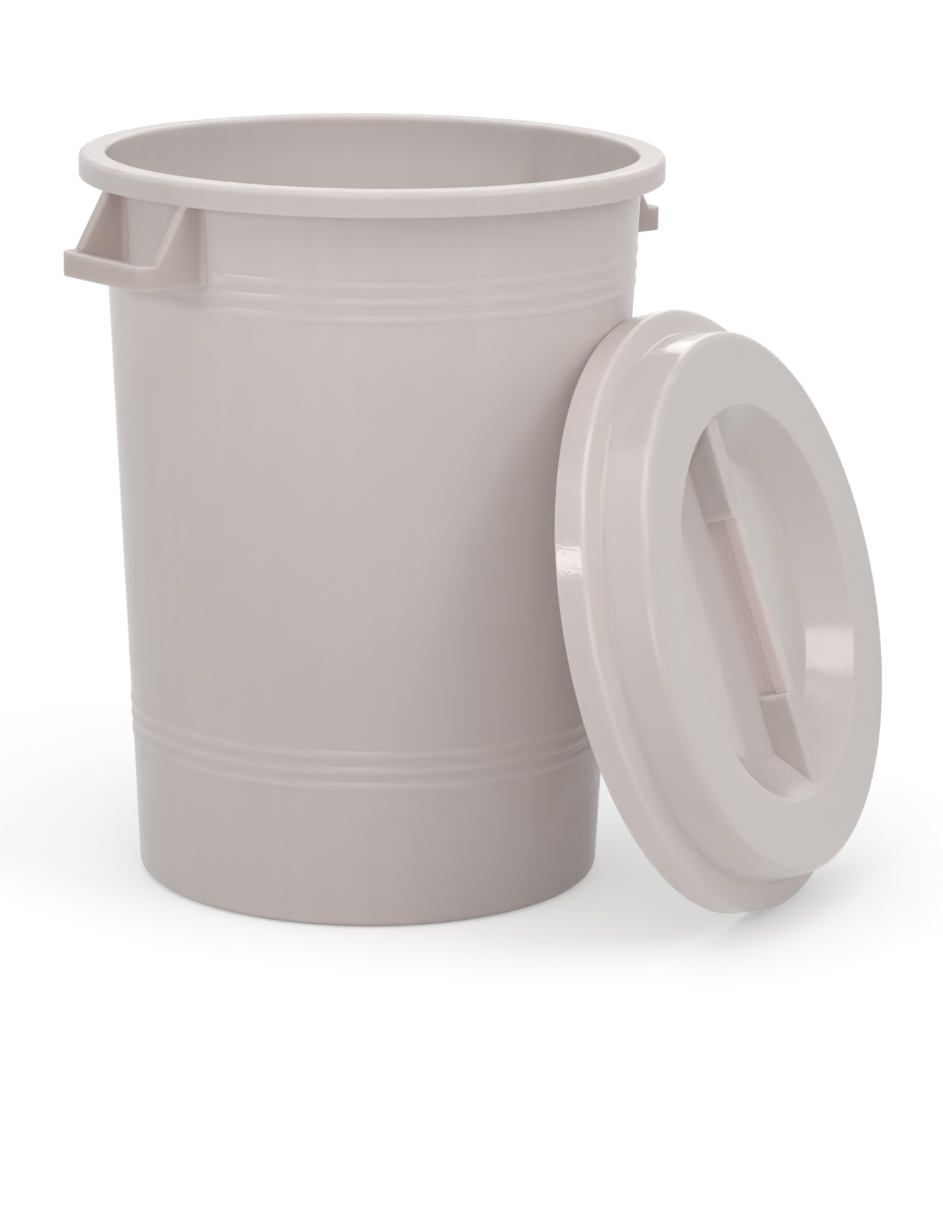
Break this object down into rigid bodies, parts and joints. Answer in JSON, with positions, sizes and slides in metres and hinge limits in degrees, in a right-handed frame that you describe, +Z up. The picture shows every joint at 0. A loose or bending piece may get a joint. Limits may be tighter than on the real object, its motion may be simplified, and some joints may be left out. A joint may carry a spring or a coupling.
{
  "type": "plastic drum with lid",
  "caption": "Open tapered plastic drum with two side handles and hoops round the wall, and its dished lid with a grip bar, taken off and leaning against it.",
  "frame": {"origin": "centre of the drum's base, on the floor", "axes": "+Z up along the drum's axis; the two handles point along +X and -X; the lid leans on the drum's -Y side, towards +X"},
  "size_m": [0.6548, 0.6286, 0.596],
  "materials": {
    "drum": "natural translucent polyethylene, off-white, soft gloss",
    "lid": "natural translucent polyethylene, off-white, polished"
  },
  "bodies": {
    "root": {"drum": "drum", "lid": "lid"}
  },
  "joints": []
}
